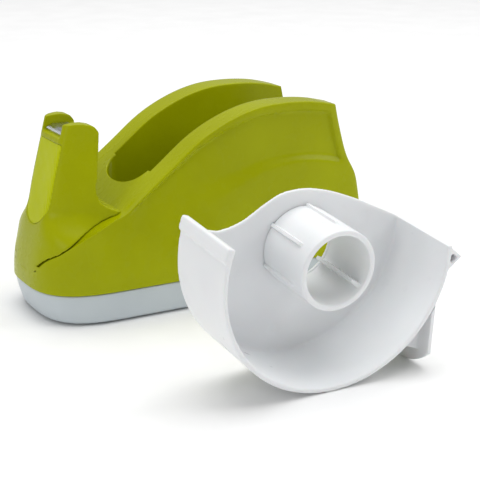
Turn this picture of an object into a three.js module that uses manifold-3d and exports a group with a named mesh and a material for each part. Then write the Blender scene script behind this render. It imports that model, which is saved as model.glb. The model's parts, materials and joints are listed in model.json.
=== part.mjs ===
// Desktop tape dispenser with a lift-out tape tray. Millimetres, +Z up.
// The origin is on the table, under the middle of the housing. The cutter is at -X.

import * as THREE from 'three';
import { mergeVertices } from 'three/addons/utils/BufferGeometryUtils.js';
import Module from 'manifold-3d';

const wasm = await Module();
wasm.setup();

// ---------------------------------------------------------------------------
// Driving dimensions
// ---------------------------------------------------------------------------

// Overall body
const bodyWidth = 47; // across both side walls
const bodyFront = -56.8; // foremost point of the nose
const bodyRear = 58.6; // rearmost point of the side walls
const bodyHeight = 65.2; // table to the crest of the side walls
const wall = 2; // moulded wall of the green shells

// Base
const baseTop = 10.4; // height of the joint between base and housing
const baseUnderside = 0.6; // the base shell stands clear of the table on its pad
const baseWall = 2;
const baseFloor = 2.6;
const baseStep = 0.5; // the base stands back from the housing by this much
const baseDraft = 2.6; // how far the nose and tail pull in towards the table
const sideDraft = 0.4; // how far each side pulls in towards the table
const noseLength = 27; // length of the rounded nose in plan
const nosePower = 3; // squareness of the nose in plan, 2 being an ellipse
const tailPower = 34; // squareness of the tail in plan
const flatPower = 40; // squareness of an end that is cut off flat
const beyond = 8; // cutting blocks pass the ends of the body by this much

// Slot for the tape tray
const slotClearance = 0.4; // free space on each side of the tray
const slotFloorGap = 0.5; // free space under the tray's rim
const slotFront = -17.8; // where the straight walls of the slot begin
const throatLength = 6.4; // rounded throat in front of the straight slot
const throatHalfWidth = 12.4;
const throatFloor = 31; // height of the throat's floor
const throatPower = 2.2; // squareness of the throat's round end
const throatSegments = 28;
const seatX = 19.5; // centre of the tray's rim when it is seated
const rearSill = 18.5; // height of the sill under the open back of the slot

// Tower
const towerTop = 62.7; // crest of the ears
const towerHalfWidth = 12.9; // at the rear of the ears
const towerFrontHalfWidth = 9.6; // of the flat front face
const towerSquareness = 9; // squareness of the plan at the ears, 2 being an ellipse
const earThickness = 5.8;
const towerRear = -34.3; // rear face of the ears
const towerNoseLength = 10; // length of the tapered part of the ears
const towerNeck = 2.9; // how far the neck pulls forward under the ears
const towerFoot = 12; // below the lowest point of the joint
const flareFoot = 24; // the plan starts to change at this height
const flareRise = 34; // height over which the plan narrows to the ears
const cornerRise = 12; // height over which the front corners draw in
const squareRise = 18; // height over which the front corners turn firm
const partingGap = 0.3; // joint between tower and housing
const ledgeHeight = 58; // top of the front ledge, at its front edge
const ledgeFront = -46.5; // where the ledge meets the front face
const ledgeDepth = 2.8;
const ledgeSlope = 0.05; // the ledge falls towards the front by this much per millimetre

// Front panel
const panelHalfWidth = 8.8;
const panelFoot = 30.1; // lowest point of the rounded foot
const panelTop = 56.3; // top edge, under the ledge
const panelDepth = 1.4; // depth of the recess that holds it
const panelSink = 0.25; // its face lies this far behind the tower's face
const panelGap = 0.3;

// Blade
const bladeThickness = 0.5;
const bladeGap = 0.3;
const bladeTop = 60; // flat back of the blade
const bladeFront = -44.1; // tips of the teeth
const bladeEdge = 58.6; // underside of the teeth
const bladeBend = -42.2; // where the slope meets the flat back
const bladeRear = -37;
const toothPitch = 1.2;
const toothDepth = 0.9;

// Tape tray
const trayWidth = 27; // near edge of the rim to the outside of the side plate
const trayPlate = 1.3; // thickness of the side plate
const rimRadius = 36.8; // outside of the curved rim
const rimWall = 1.4;
const rimCentreX = -1.8; // rim centre, from the hub axis
const rimCentreZ = 2.3;
const hubRadius = 11.9; // outside of the hub tube
const hubWall = 1.6;
const hubSetback = 4.5; // the hub stops this far inside the rim's near edge
const hubRibHeight = 0.7;
const hubRibCount = 6;
const hubRibSetback = 5; // the ribs stop this far inside the hub's near end
const hubRibWidth = 1.1;
const ribStart = THREE.MathUtils.degToRad(22);
const finHeight = 2.6; // one stiffening fin inside the bore
const finWidth = 1.3;
const finSetback = 1.5;
const finAngle = THREE.MathUtils.degToRad(-38);
const lipProud = 0.9; // the lip stands this far out from the rim
const lipAngle = THREE.MathUtils.degToRad(4.6);
const gripTop = 3.9; // finger grip, from the hub axis
const gripHeight = 8;
const gripReach = 3.9;
const gripWall = 1;
const pieceGap = 0.3; // between pieces that touch
const trayTilt = 5.5; // degrees the tray leans as it stands on the table
const trayX = -1.7; // hub axis, where the tray stands
const trayY = -100.5; // near end of the hub, where the tray stands
const trayFloorGap = 0.05; // the tray stands this far off the exact table plane

// Latch tongue on the back of the tray
const tongueWall = 1.2;
const tongueX = rimCentreX + rimRadius - 3.6; // outside of the tongue, from the hub axis
const tongueDrop = rimRadius - rimCentreZ + 1.1; // lowest point of the tongue, below the hub axis
const tongueRound = 6; // how much shorter its corners are
const tongueRoot = rimCentreZ + 0.2 - Math.sqrt(rimRadius ** 2 - (tongueX - rimCentreX) ** 2);
const tongueMargin = 0.2; // the tongue is this much narrower than the rim on each side
const catchTop = 10.2 - tongueDrop; // catch ribs on the tongue's inner side
const catchReach = 5;
const catchWidth = 1.2;
const catchSpacing = 15;

// Ballast, pad and screws
const ballastLength = 70;
const ballastCentre = 5;
const ballastWidth = 33;
const ballastHeight = 6.2;
const padLength = 76;
const padWidth = 26;
const padThickness = 1.4;
const screwRadius = 1.4;
const screwHeadRadius = 2.7;
const screwHeadHeight = 1.8;
const screwClearance = 0.3;
const bossWall = 1.8;
const screwX = [-36, 46];
const screwY = bodyWidth / 2 - 6.5;
const screwSeat = 3.6; // depth of the screws' recess in the base
const baseScrewLength = 14;
const screwDepth = 9.5; // depth of the screw holes above the base
const towerScrewX = -45;
const towerScrewY = 8;
const towerScrewRadius = 1.3;
const towerScrewSeat = 21; // underside of the housing's boss
const towerScrewLength = 15;
const towerBossTop = 38;

// ---------------------------------------------------------------------------
// Materials
// ---------------------------------------------------------------------------

const limePlastic = new THREE.MeshStandardMaterial({ color: 0xa3ad00, roughness: 0.28, metalness: 0 });
const panelPlastic = new THREE.MeshStandardMaterial({ color: 0xb1ba00, roughness: 0.5, metalness: 0 });
const whitePlastic = new THREE.MeshStandardMaterial({ color: 0xe2e6ea, roughness: 0.35, metalness: 0 });
const basePlastic = new THREE.MeshStandardMaterial({ color: 0xc9d0d4, roughness: 0.38, metalness: 0 });
const bladeSteel = new THREE.MeshStandardMaterial({ color: 0xc8ccd0, roughness: 0.22, metalness: 1 });
const screwSteel = new THREE.MeshStandardMaterial({ color: 0x9a9da0, roughness: 0.35, metalness: 1 });
const ballastIron = new THREE.MeshStandardMaterial({ color: 0x55585a, roughness: 0.7, metalness: 1 });
const padFoam = new THREE.MeshStandardMaterial({ color: 0x2b2c2e, roughness: 0.9, metalness: 0 });

// ---------------------------------------------------------------------------
// Solids
// ---------------------------------------------------------------------------

// A closed three.js geometry as a solid for cutting and joining.
function solid(geometry) {
  const bare = geometry.clone();
  bare.deleteAttribute('normal');
  bare.deleteAttribute('uv');
  const merged = mergeVertices(bare, 1e-4);
  const mesh = new wasm.Mesh({
    numProp: 3,
    vertProperties: new Float32Array(merged.attributes.position.array),
    triVerts: new Uint32Array(merged.index.array),
  });
  return new wasm.Manifold(mesh);
}

// A solid back as a three.js geometry.
function geometryOf(manifold) {
  const mesh = manifold.getMesh();
  const geometry = new THREE.BufferGeometry();
  geometry.setAttribute('position', new THREE.BufferAttribute(new Float32Array(mesh.vertProperties), 3));
  geometry.setIndex(new THREE.BufferAttribute(new Uint32Array(mesh.triVerts), 1));
  geometry.computeVertexNormals();
  return geometry;
}

function piece(name, manifold, material) {
  const mesh = new THREE.Mesh(geometryOf(manifold), material);
  mesh.name = name;
  return mesh;
}

function box(x0, x1, y0, y1, z0, z1) {
  const geometry = new THREE.BoxGeometry(x1 - x0, y1 - y0, z1 - z0);
  geometry.translate((x0 + x1) / 2, (y0 + y1) / 2, (z0 + z1) / 2);
  return solid(geometry);
}

// An outline with its repeated points left out, so that it extrudes to a closed body.
function cleanShape(outline, curveSegments) {
  const shape = outline instanceof THREE.Shape ? outline : new THREE.Shape(outline);
  const all = shape.getPoints(curveSegments);
  const kept = all.filter((p, i) => p.distanceTo(all[(i + all.length - 1) % all.length]) > 0.002);
  return new THREE.Shape(kept);
}

// An outline in the XZ plane, carried along Y from y0 to y1.
function slab(outline, y0, y1, curveSegments = 24) {
  const shape = cleanShape(outline, curveSegments);
  const geometry = new THREE.ExtrudeGeometry(shape, { depth: y1 - y0, bevelEnabled: false });
  geometry.rotateX(Math.PI / 2);
  geometry.translate(0, y1, 0);
  return solid(geometry);
}

// An outline in the XY plane, carried up from z0 to z1.
function prism(outline, z0, z1, curveSegments = 24) {
  const shape = cleanShape(outline, curveSegments);
  const geometry = new THREE.ExtrudeGeometry(shape, { depth: z1 - z0, bevelEnabled: false });
  geometry.translate(0, 0, z0);
  return solid(geometry);
}

function upright(radius, x, y, z0, z1, segments = 24) {
  const geometry = new THREE.CylinderGeometry(radius, radius, z1 - z0, segments);
  geometry.rotateX(Math.PI / 2);
  geometry.translate(x, y, (z0 + z1) / 2);
  return solid(geometry);
}

function along(radius, x, z, y0, y1, segments = 64) {
  const geometry = new THREE.CylinderGeometry(radius, radius, y1 - y0, segments);
  geometry.translate(x, (y0 + y1) / 2, z);
  return solid(geometry);
}

function points(pairs) {
  return pairs.map(([a, b]) => new THREE.Vector2(a, b));
}

// A smooth curve through a few points, as a dense list.
function smooth(pairs, divisions) {
  return new THREE.SplineCurve(points(pairs)).getPoints(divisions);
}

// Value at z on a smooth curve of [z, value] pairs with rising z.
function along1D(curve, z) {
  let i = 1;
  while (i < curve.length - 1 && curve[i].x < z) {
    i += 1;
  }
  const a = curve[i - 1];
  const b = curve[i];
  const t = Math.min(1, Math.max(0, (z - a.x) / (b.x - a.x)));
  return a.y + t * (b.y - a.y);
}

// A sine or cosine with its rounding error cleared, so that a closed curve meets itself exactly.
function snap(value) {
  return Math.abs(value) < 1e-9 ? 0 : value;
}

// A closed column whose plan changes with height. Each plan is a rounded nose
// in front of the widest place and a squarer tail behind it.
function column(levels, planAt, segments = 52) {
  const rows = levels.length - 1;
  const geometry = new THREE.CylinderGeometry(1, 1, 1, segments, rows);
  const position = geometry.attributes.position;
  for (let i = 0; i < position.count; i += 1) {
    const px = position.getX(i);
    const py = position.getY(i);
    const pz = position.getZ(i);
    const z = levels[Math.round((py + 0.5) * rows)];
    const plan = planAt(z);
    const radius = Math.hypot(px, pz);
    const c = radius > 0.5 ? snap(px / radius) : 0;
    const s = radius > 0.5 ? snap(-pz / radius) : 0;
    const power = c < 0 ? plan.nosePower : plan.tailPower;
    const reach = c < 0 ? plan.middle - plan.front : plan.rear - plan.middle;
    const share = Math.abs(c) ** (2 / power);
    const taper = c < 0 ? 1 - (plan.taper ?? 0) * share : 1;
    const x = plan.middle + Math.sign(c) * reach * share;
    const y = Math.sign(s) * plan.halfWidth * taper * Math.abs(s) ** (2 / power);
    position.setXYZ(i, x, y, z);
  }
  return solid(geometry);
}

function heights(z0, z1, count) {
  return Array.from({ length: count + 1 }, (_, i) => z0 + ((z1 - z0) * i) / count);
}

// ---------------------------------------------------------------------------
// Outline of the body
// ---------------------------------------------------------------------------

// Nose and tail of the plan at each height, from the base joint to the crest.
const noseCurve = smooth([
  [baseTop, bodyFront],
  [16, bodyFront + 0.3],
  [24, bodyFront + 2],
  [34, bodyFront + 4.8],
  [46, bodyFront + 8],
  [bodyHeight, bodyFront + 13.2],
], 60);
const tailCurve = smooth([
  [baseTop, bodyRear - 0.4],
  [16, bodyRear],
  [24, bodyRear - 0.5],
  [32, bodyRear - 1.6],
  [38, bodyRear - 3],
  [44, bodyRear - 6.2],
  [54, bodyRear - 9.4],
  [bodyHeight, bodyRear - 12],
], 80);

// Plan of the body at a height, set in by the given amount all round.
function bodyPlan(z, inset = 0) {
  return {
    front: along1D(noseCurve, z) + inset,
    rear: along1D(tailCurve, z) - inset,
    middle: bodyFront + noseLength,
    halfWidth: bodyWidth / 2 - inset,
    nosePower,
    tailPower,
  };
}

// Top of the side walls, as [x, z] from the saddle to the rear.
const crestTop = smooth([
  [towerRear + 4.6, 35.2],
  [-25.6, bodyHeight - 25.5],
  [-15, bodyHeight - 17.3],
  [-4.3, bodyHeight - 9.1],
  [6.4, bodyHeight - 3.7],
  [17.5, bodyHeight - 0.6],
  [28.5, bodyHeight],
  [40.2, bodyHeight - 1.1],
  [bodyRear - 10.8, bodyHeight - 2.9],
], 32);

// Joint between tower and housing, as [x, z] from the nose to the saddle.
const parting = smooth([
  [bodyFront - 3, 14.8],
  [bodyFront + 0.5, 16.6],
  [bodyFront + 2.3, 20.1],
  [bodyFront + 6.2, 23.9],
  [bodyFront + 11.2, 27.8],
  [bodyFront + 16.8, 31.2],
  [bodyFront + 22.3, 34.2],
], 20);

// Region of the XZ plane under the crest and behind the parting joint, drawn in by the given amount.
function housingSide(inset) {
  const lower = parting.map((p) => new THREE.Vector2(p.x, p.y - inset));
  const upper = crestTop.map((p) => new THREE.Vector2(p.x, p.y - inset));
  const shape = new THREE.Shape();
  shape.moveTo(bodyFront - 10, baseTop + pieceGap);
  shape.lineTo(bodyRear + 10, baseTop + pieceGap);
  shape.lineTo(bodyRear + 10, upper[upper.length - 1].y - 2);
  upper.reverse().forEach((p) => shape.lineTo(p.x, p.y));
  lower.reverse().forEach((p) => shape.lineTo(p.x, p.y));
  return shape;
}

// ---------------------------------------------------------------------------
// Slot for the tray
// ---------------------------------------------------------------------------

const slotHalfWidth = trayWidth / 2 + slotClearance;
const seatRadius = rimRadius + slotFloorGap;
const seatZ = baseTop + pieceGap + wall + seatRadius;

// The slot is round at the bottom, to follow the tray's rim, and open at the top and the back.
function slotRegion(grow) {
  const radius = seatRadius + grow;
  const sill = rearSill - grow;
  const sillAngle = Math.asin((sill - seatZ) / radius);
  const shape = new THREE.Shape();
  const far = bodyRear + 20;
  shape.moveTo(slotFront - grow, bodyHeight + 20);
  shape.lineTo(Math.min(slotFront - grow, seatX - radius), seatZ);
  shape.absarc(seatX, seatZ, radius, Math.PI, 2 * Math.PI + sillAngle, false);
  shape.lineTo(far, sill);
  shape.lineTo(far, bodyHeight + 20);
  const throat = new THREE.Shape();
  const reach = throatLength + grow;
  const half = throatHalfWidth + grow;
  throat.moveTo(slotFront + 12, -half);
  throat.lineTo(slotFront + 12, half);
  throat.lineTo(slotFront, half);
  for (let i = 1; i < throatSegments; i += 1) {
    const angle = (Math.PI * i) / throatSegments;
    const forward = Math.sin(angle) ** (2 / throatPower);
    const across = Math.sign(Math.cos(angle)) * Math.abs(Math.cos(angle)) ** (2 / throatPower);
    throat.lineTo(slotFront - reach * forward, half * across);
  }
  throat.lineTo(slotFront, -half);
  const lane = slab(shape, -slotHalfWidth - grow, slotHalfWidth + grow, 48);
  return lane.add(prism(throat, throatFloor - grow, bodyHeight + 20));
}

// ---------------------------------------------------------------------------
// Housing
// ---------------------------------------------------------------------------

const screwSpots = screwX.flatMap((x) => [-screwY, screwY].map((y) => [x, y]));

function housing() {
  const levels = heights(baseTop + pieceGap, bodyHeight + 1, 16);
  const outside = column(levels, (z) => bodyPlan(z)).intersect(
    slab(housingSide(0), -bodyWidth, bodyWidth),
  );
  const inside = column(heights(baseTop - 1, bodyHeight + 1, 10), (z) => bodyPlan(z, wall), 40)
    .intersect(slab(housingSide(wall), -bodyWidth, bodyWidth).add(
      box(bodyFront - 9, bodyRear + 9, -bodyWidth, bodyWidth, baseTop - 1, baseTop + pieceGap + 0.5),
    ))
    .subtract(slotRegion(wall));
  let body = outside.subtract(inside).subtract(slotRegion(0));
  for (const [x, y] of screwSpots) {
    const hole = screwRadius + screwClearance;
    const boss = upright(hole + bossWall, x, y, baseTop + pieceGap, bodyHeight)
      .intersect(outside)
      .subtract(slotRegion(0));
    body = body.add(boss).subtract(upright(hole, x, y, baseTop - 1, baseTop + screwDepth));
  }
  for (const y of [-towerScrewY, towerScrewY]) {
    const hole = towerScrewRadius + screwClearance;
    const boss = upright(hole + bossWall, towerScrewX, y, towerScrewSeat, bodyHeight).intersect(outside);
    body = body.add(boss).subtract(upright(hole, towerScrewX, y, towerScrewSeat - 1, bodyHeight));
  }
  return body;
}

// ---------------------------------------------------------------------------
// Tower
// ---------------------------------------------------------------------------

const towerLevels = heights(towerFoot, towerTop + 1, 16);

// Smooth step from 0 at the flare's foot to 1 at the given rise above it.
function flare(z, rise) {
  const t = Math.min(1, Math.max(0, (z - flareFoot) / rise));
  return t * t * (3 - 2 * t);
}

function towerPlan(z, inset = 0) {
  const t = flare(z, flareRise);
  const front = along1D(noseCurve, z);
  const middle = bodyFront + noseLength;
  const halfWidth = bodyWidth / 2 + (towerHalfWidth - bodyWidth / 2) * t;
  return {
    front: front + inset,
    rear: 0,
    middle: middle + (front + towerNoseLength - middle) * t,
    halfWidth: halfWidth - inset,
    nosePower: nosePower + (towerSquareness - nosePower) * flare(z, squareRise),
    taper: (1 - towerFrontHalfWidth / halfWidth) * flare(z, cornerRise),
    tailPower: flatPower,
  };
}

// Side view of the tower: ears on top, a neck that sweeps back to the saddle, and the parting joint.
function towerSide() {
  const shape = new THREE.Shape();
  const foot = parting.map((p) => new THREE.Vector2(p.x, p.y + partingGap));
  const back = smooth([
    [crestTop[0].x - partingGap, crestTop[0].y + 0.3],
    [towerRear - 0.6, 37.4],
    [towerRear - towerNeck, 41],
    [towerRear - towerNeck + 0.9, 47],
    [towerRear - 0.5, 54],
    [towerRear, towerTop - 2.8],
  ], 30);
  const ear = smooth([
    [towerRear, towerTop - 2.8],
    [towerRear - 1, towerTop - 1.3],
    [towerRear - 3.4, towerTop - 0.2],
    [towerRear - 7, towerTop],
    [towerRear - 10.4, towerTop - 0.6],
    [towerRear - 12.4, towerTop - 2.4],
  ], 24);
  shape.moveTo(foot[0].x, foot[0].y);
  foot.slice(1).forEach((p) => shape.lineTo(p.x, p.y));
  back.forEach((p) => shape.lineTo(p.x, p.y));
  ear.slice(1).forEach((p) => shape.lineTo(p.x, p.y));
  shape.lineTo(bodyFront - beyond, towerTop - 2.4);
  return shape;
}

// The tower's hollow, seen from the side: its back wall kept, and open at the foot.
function towerCore() {
  const foot = crestTop[0].x - partingGap - wall - 3;
  const shape = new THREE.Shape();
  shape.moveTo(bodyFront - beyond, 0);
  shape.lineTo(foot, 0);
  shape.lineTo(foot, 37);
  shape.lineTo(towerRear - towerNeck - wall, 42);
  shape.lineTo(towerRear - towerNeck - wall + 0.4, 47);
  shape.lineTo(towerRear - wall - 0.8, 54);
  shape.lineTo(towerRear - wall, towerTop);
  shape.lineTo(bodyFront - beyond, towerTop);
  return shape;
}

// Seat between the ears, as [x, z] from the front ledge to the rear face.
function seatLine(raise) {
  const rise = ledgeHeight + raise;
  return [
    [bodyFront - beyond, rise - ledgeSlope * (ledgeFront - bodyFront + beyond)],
    [ledgeFront, rise],
    [ledgeFront + ledgeDepth, rise + ledgeSlope * ledgeDepth],
    [bladeBend, bladeTop - bladeGap - bladeThickness + raise],
    [bodyFront + 40, bladeTop - bladeGap - bladeThickness + raise],
  ];
}

function tower() {
  const outside = column(towerLevels, (z) => towerPlan(z)).intersect(
    slab(towerSide(), -bodyWidth, bodyWidth),
  );
  const floor = seatLine(-wall);
  const under = new THREE.Shape(points([...floor, [bodyFront + 40, 0], [bodyFront - beyond, 0]]));
  const inside = column(heights(towerFoot - 1, towerTop + 1, 12), (z) => towerPlan(z, wall), 40)
    .intersect(slab(towerCore(), -bodyWidth, bodyWidth))
    .intersect(slab(under, -bodyWidth, bodyWidth));
  const gapTop = new THREE.Shape(points([
    ...seatLine(0),
    [bodyFront + 40, towerTop + 9],
    [bodyFront - beyond, towerTop + 9],
  ]));
  const earFace = towerHalfWidth - earThickness;
  let body = outside.subtract(inside).subtract(slab(gapTop, -earFace, earFace));
  for (const y of [-towerScrewY, towerScrewY]) {
    const hole = towerScrewRadius + screwClearance;
    const boss = upright(hole + bossWall, towerScrewX, y, towerFoot, towerBossTop).intersect(outside);
    body = body.add(boss).subtract(upright(hole, towerScrewX, y, towerFoot, towerBossTop - 1.5));
  }
  return body.subtract(panelBlock(0).intersect(panelSkin(panelDepth + panelGap)));
}

// Outline of the front panel, seen from the front: straight sides and a round foot.
function panelBlock(inset) {
  const half = panelHalfWidth - inset;
  const top = panelTop - inset;
  const round = panelFoot + panelHalfWidth;
  const shape = new THREE.Shape();
  shape.moveTo(-half, round);
  shape.absarc(0, round, half, Math.PI, 2 * Math.PI, false);
  shape.lineTo(half, top);
  shape.lineTo(-half, top);
  const geometry = new THREE.ExtrudeGeometry(cleanShape(shape, 20), { depth: 30, bevelEnabled: false });
  geometry.rotateX(Math.PI / 2);
  geometry.rotateZ(Math.PI / 2);
  geometry.translate(bodyFront - 6, 0, 0);
  return solid(geometry);
}

// Everything in front of the tower's front face moved back by the given depth.
function panelSkin(depth) {
  const block = box(bodyFront - beyond, bodyFront + 26, -bodyWidth / 2, bodyWidth / 2, towerFoot + 1, towerTop);
  const core = column(towerLevels, (z) => ({ ...towerPlan(z), front: towerPlan(z).front + depth }));
  return block.subtract(core);
}

function frontPanel() {
  const face = column(towerLevels, (z) => ({ ...towerPlan(z), front: towerPlan(z).front + panelSink }));
  return panelBlock(panelGap).intersect(panelSkin(panelDepth)).intersect(face);
}

// Serrated strip: a sloping front with teeth, and a flat back.
function blade() {
  const half = towerHalfWidth - earThickness - bladeGap;
  const lower = bladeTop - bladeThickness;
  const strip = slab(points([
    [bladeFront, bladeEdge],
    [bladeBend, lower],
    [bladeRear, lower],
    [bladeRear, bladeTop],
    [bladeBend, bladeTop],
    [bladeFront, bladeEdge + bladeThickness],
  ]), -half, half);
  const count = Math.floor((2 * half) / toothPitch);
  const teeth = new THREE.Shape();
  teeth.moveTo(bladeFront - 2, -half - 1);
  teeth.lineTo(bladeFront - 2, half + 1);
  teeth.lineTo(bladeFront, half + 1);
  for (let i = count; i >= 0; i -= 1) {
    const y = (i - count / 2) * toothPitch;
    teeth.lineTo(bladeFront, y);
    if (i > 0) {
      teeth.lineTo(bladeFront + toothDepth, y - toothPitch / 2);
    }
  }
  teeth.lineTo(bladeFront, -half - 1);
  return strip.subtract(prism(teeth, ledgeHeight - 2, towerTop));
}

// ---------------------------------------------------------------------------
// Base, ballast, pad and screws
// ---------------------------------------------------------------------------

function basePlan(z, inset = 0) {
  const t = Math.max(0, (baseTop - z) / (baseTop - baseUnderside)) ** 1.4;
  const top = bodyPlan(baseTop);
  return {
    ...top,
    front: top.front + baseStep + baseDraft * t + inset,
    rear: top.rear - baseStep - baseDraft * t - inset,
    halfWidth: top.halfWidth - baseStep - sideDraft * t - inset,
  };
}

function base() {
  const floorTop = baseUnderside + baseFloor;
  let body = column(heights(baseUnderside, baseTop, 5), (z) => basePlan(z));
  body = body.subtract(column(heights(floorTop, baseTop + 1, 3), (z) => basePlan(z, baseWall), 40));
  const recess = padThickness + pieceGap;
  body = body.subtract(padShape(padLength / 2 + pieceGap, padWidth / 2 + pieceGap, 0, recess));
  for (const [x, y] of screwSpots) {
    body = body.add(upright(screwHeadRadius + screwClearance + 1.3, x, y, floorTop - 1, baseTop));
  }
  for (const [x, y] of screwSpots) {
    body = body
      .subtract(upright(screwHeadRadius + screwClearance, x, y, 0, screwSeat))
      .subtract(upright(screwRadius + screwClearance, x, y, 0, baseTop + 1));
  }
  return body;
}

function padShape(halfLength, halfWidth, z0, z1) {
  const radius = 4;
  const shape = new THREE.Shape();
  shape.moveTo(-halfLength + radius, -halfWidth);
  shape.lineTo(halfLength - radius, -halfWidth);
  shape.absarc(halfLength - radius, -halfWidth + radius, radius, -Math.PI / 2, 0, false);
  shape.absarc(halfLength - radius, halfWidth - radius, radius, 0, Math.PI / 2, false);
  shape.absarc(-halfLength + radius, halfWidth - radius, radius, Math.PI / 2, Math.PI, false);
  shape.absarc(-halfLength + radius, -halfWidth + radius, radius, Math.PI, 1.5 * Math.PI, false);
  return prism(shape, z0, z1, 8);
}

function ballast() {
  const z = baseUnderside + baseFloor + pieceGap;
  const x0 = ballastCentre - ballastLength / 2;
  return box(x0, x0 + ballastLength, -ballastWidth / 2, ballastWidth / 2, z, z + ballastHeight);
}

// A pan-head screw standing head down, with a cross recess in its head.
function screw(x, y, seat, radius, length) {
  const headTop = seat - pieceGap;
  const headBottom = headTop - screwHeadHeight;
  const slot = 0.35;
  const arm = 1.6;
  return upright(screwHeadRadius, x, y, headBottom, headTop, 20)
    .add(upright(radius, x, y, headTop - 0.5, headTop + length, 16))
    .subtract(box(x - arm, x + arm, y - slot, y + slot, headBottom - 1, headBottom + 1))
    .subtract(box(x - slot, x + slot, y - arm, y + arm, headBottom - 1, headBottom + 1));
}

// ---------------------------------------------------------------------------
// Tape tray, in its own frame: hub axis along Y, near end of the hub at y = 0
// ---------------------------------------------------------------------------

const nearEdge = -hubSetback;
const plateInside = trayWidth - hubSetback - trayPlate;
const plateOutside = trayWidth - hubSetback;
const rimStart = THREE.MathUtils.degToRad(166);
const rimEnd = THREE.MathUtils.degToRad(362.4);

function rimPoint(radius, angle) {
  return [rimCentreX + radius * Math.cos(angle), rimCentreZ + radius * Math.sin(angle)];
}

// Top edge of the side plate: low at the lip, a hump over the hub, then down to the grip.
const plateFront = rimCentreX - rimRadius + 6;
const plateRear = rimCentreX + rimRadius - 0.8;
const plateTop = smooth([
  [plateFront, 8.6],
  [0.77 * plateFront, 8],
  [0.57 * plateFront, 9.8],
  [-hubRadius - 0.8, 13.2],
  [-7.4, 15.9],
  [-0.7, 16.8],
  [7.3, 15.5],
  [0.5 * plateRear, 11.9],
  [0.86 * plateRear, 6.1],
  [plateRear, 3.8],
], 36);

function tray() {
  const plate = new THREE.Shape();
  plate.moveTo(...rimPoint(rimRadius, rimStart));
  plate.absarc(rimCentreX, rimCentreZ, rimRadius, rimStart, rimEnd, false);
  [...plateTop].reverse().forEach((p) => plate.lineTo(p.x, p.y));
  const rim = new THREE.Shape();
  rim.moveTo(...rimPoint(rimRadius, rimStart));
  rim.absarc(rimCentreX, rimCentreZ, rimRadius, rimStart, rimEnd, false);
  rim.absarc(rimCentreX, rimCentreZ, rimRadius - rimWall, rimEnd, rimStart, true);
  let body = slab(plate, plateInside, plateOutside, 60);
  body = body.add(slab(rim, nearEdge, plateOutside, 60));
  body = body.add(slab(lipOutline(), nearEdge, plateOutside));
  const grip = slab(gripOutline(0), nearEdge, plateOutside)
    .subtract(slab(gripOutline(gripWall), nearEdge - 1, plateOutside + 1));
  const inner = along(rimRadius - rimWall / 2, rimCentreX, rimCentreZ, nearEdge - 1, plateOutside + 1);
  body = body.add(grip.subtract(inner));
  return body.subtract(along(hubRadius - hubWall, 0, 0, plateInside - 1, plateOutside + 1));
}

// Raised band along the front edge of the rim, where the tape's end rests.
function lipOutline() {
  return new THREE.Shape(points([
    rimPoint(rimRadius - rimWall, rimStart - lipAngle),
    rimPoint(rimRadius - rimWall, rimStart + 0.4 * lipAngle),
    rimPoint(rimRadius + lipProud, rimStart + 0.4 * lipAngle),
    rimPoint(rimRadius + lipProud, rimStart - 0.8 * lipAngle),
    rimPoint(rimRadius - 0.2, rimStart - lipAngle),
  ]));
}

// Finger grip: a hollow wedge behind the top of the rim.
function gripOutline(inset) {
  const [x] = rimPoint(rimRadius, rimEnd);
  return points([
    [x - 1 + inset, gripTop - 1.6 * inset],
    [x - 1 + inset, gripTop - gripHeight + 1.6 * inset],
    [x + gripReach - 1.5 * inset, gripTop - gripHeight / 2],
  ]);
}

function hub() {
  const far = plateInside - pieceGap;
  let body = along(hubRadius, 0, 0, 0, far, 48);
  for (let i = 0; i < hubRibCount; i += 1) {
    const angle = ribStart + (2 * Math.PI * i) / hubRibCount;
    const rib = new THREE.BoxGeometry(hubRibHeight + 1, far - hubRibSetback, hubRibWidth);
    rib.translate(hubRadius + (hubRibHeight - 1) / 2, (far + hubRibSetback) / 2, 0);
    rib.rotateY(-angle);
    body = body.add(solid(rib));
  }
  body = body.subtract(along(hubRadius - hubWall, 0, 0, -1, plateInside + 1, 48));
  const fin = new THREE.BoxGeometry(finHeight + 0.5, far - finSetback, finWidth);
  fin.translate(hubRadius - hubWall - (finHeight - 0.5) / 2, (far + finSetback) / 2, 0);
  fin.rotateY(-finAngle);
  return body.add(solid(fin));
}

// Springy tongue under the grip, with two catch ribs on its inner side.
function latch() {
  const half = (plateOutside - nearEdge) / 2 - tongueMargin;
  const middle = (plateOutside + nearEdge) / 2;
  const front = new THREE.Shape();
  front.moveTo(-half, tongueRoot);
  front.lineTo(-half, -tongueDrop + tongueRound);
  for (let i = 1; i < 16; i += 1) {
    const t = -1 + i / 8;
    front.lineTo(half * t, -tongueDrop + tongueRound * Math.abs(t) ** 2.2);
  }
  front.lineTo(half, -tongueDrop + tongueRound);
  front.lineTo(half, tongueRoot);
  const settings = { depth: tongueWall, bevelEnabled: false };
  const geometry = new THREE.ExtrudeGeometry(cleanShape(front, 1), settings);
  geometry.rotateX(Math.PI / 2);
  geometry.rotateZ(Math.PI / 2);
  geometry.translate(tongueX - tongueWall, middle, 0);
  let body = solid(geometry);
  for (const y of [middle - catchSpacing / 2, middle + catchSpacing / 2]) {
    body = body.add(slab(points([
      [tongueX - tongueWall / 2, catchTop + 3.6],
      [tongueX - catchReach, catchTop],
      [tongueX - catchReach, catchTop - 3.2],
      [tongueX - tongueWall / 2, catchTop - 5],
    ]), y - catchWidth / 2, y + catchWidth / 2));
  }
  const clear = along(rimRadius + pieceGap, rimCentreX, rimCentreZ, nearEdge - 2, plateOutside + 2, 96);
  return body.subtract(clear);
}

// ---------------------------------------------------------------------------
// Scene
// ---------------------------------------------------------------------------

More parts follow.
